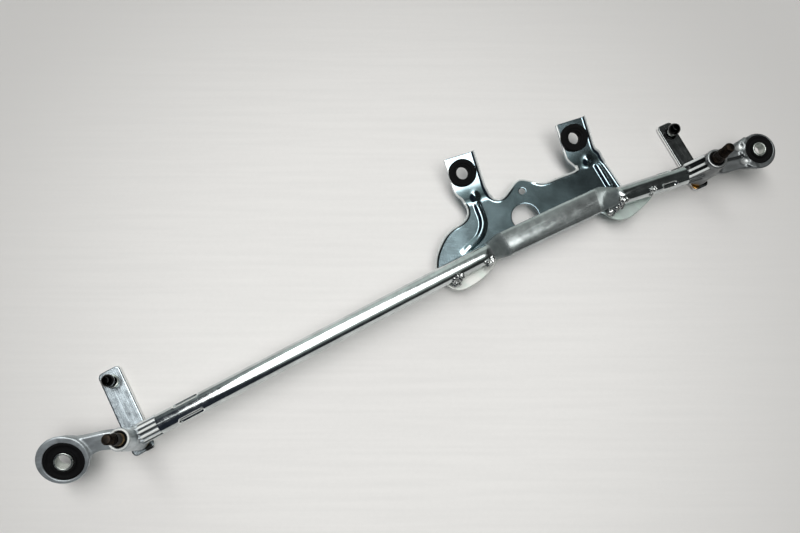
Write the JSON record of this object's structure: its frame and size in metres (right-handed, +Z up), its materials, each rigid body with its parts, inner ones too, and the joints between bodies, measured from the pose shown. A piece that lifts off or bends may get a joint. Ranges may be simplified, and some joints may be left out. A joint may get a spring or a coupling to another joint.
{
  "type": "wiper linkage",
  "caption": "Wiper linkage frame: bent cross tube flattened at a pressed motor bracket, rubber-mounted eyes and tabs, and die-cast pivots whose spindles turn with ball-stud crank levers.",
  "frame": {"origin": "centre of the motor shaft hole, on the underside of the motor plate", "axes": "+X along the right length of the tube towards the right eye, +Y towards the two bracket tabs, +Z up along the pivot spindles"},
  "size_m": [0.805, 0.1946, 0.0861],
  "materials": {
    "tube_zinc": "bright zinc plate",
    "plate_zinc": "bright zinc plate with pressing marks",
    "left_casting": "bare die casting",
    "right_casting": "bare die casting",
    "rubber": "matte black",
    "sleeve_zinc": "zinc plate",
    "bronze": "sintered, oily",
    "spindle_steel": "dark oiled steel",
    "dark_steel": "dark spring steel",
    "black_steel": "black, greased",
    "left_lever_zinc": "zinc plate",
    "right_lever_zinc": "dull zinc plate"
  },
  "bodies": {
    "frame": {"main_tube": "tube_zinc", "motor_bracket": "plate_zinc", "left_pivot_housing": "left_casting", "right_pivot_housing": "right_casting", "left_eye_grommet": "rubber", "right_eye_grommet": "rubber", "left_eye_sleeve": "sleeve_zinc", "right_eye_sleeve": "sleeve_zinc", "left_tab_grommet": "rubber", "right_tab_grommet": "rubber", "left_upper_bush": "bronze", "right_upper_bush": "bronze", "left_lower_bush": "bronze", "right_lower_bush": "bronze"},
    "left_crank": {"left_spindle": "spindle_steel", "left_lever": "left_lever_zinc", "left_ball_stud": "black_steel", "left_thrust_washer": "bronze", "left_top_washer": "dark_steel", "left_circlip": "dark_steel", "left_dust_seal": "rubber"},
    "right_crank": {"right_spindle": "spindle_steel", "right_lever": "right_lever_zinc", "right_ball_stud": "black_steel", "right_thrust_washer": "bronze", "right_top_washer": "dark_steel", "right_circlip": "dark_steel", "right_dust_seal": "rubber"}
  },
  "joints": [
    {"name": "left_pivot", "type": "hinge", "parent": "frame", "child": "left_crank", "pos_m": [-0.4445, -0.092, 0], "axis": [0, 0, 1], "range_deg": [-45, 45]},
    {"name": "right_pivot", "type": "hinge", "parent": "frame", "child": "right_crank", "pos_m": [0.1995, -0.013, 0], "axis": [0, 0, 1], "range_deg": [-45, 45]}
  ]
}
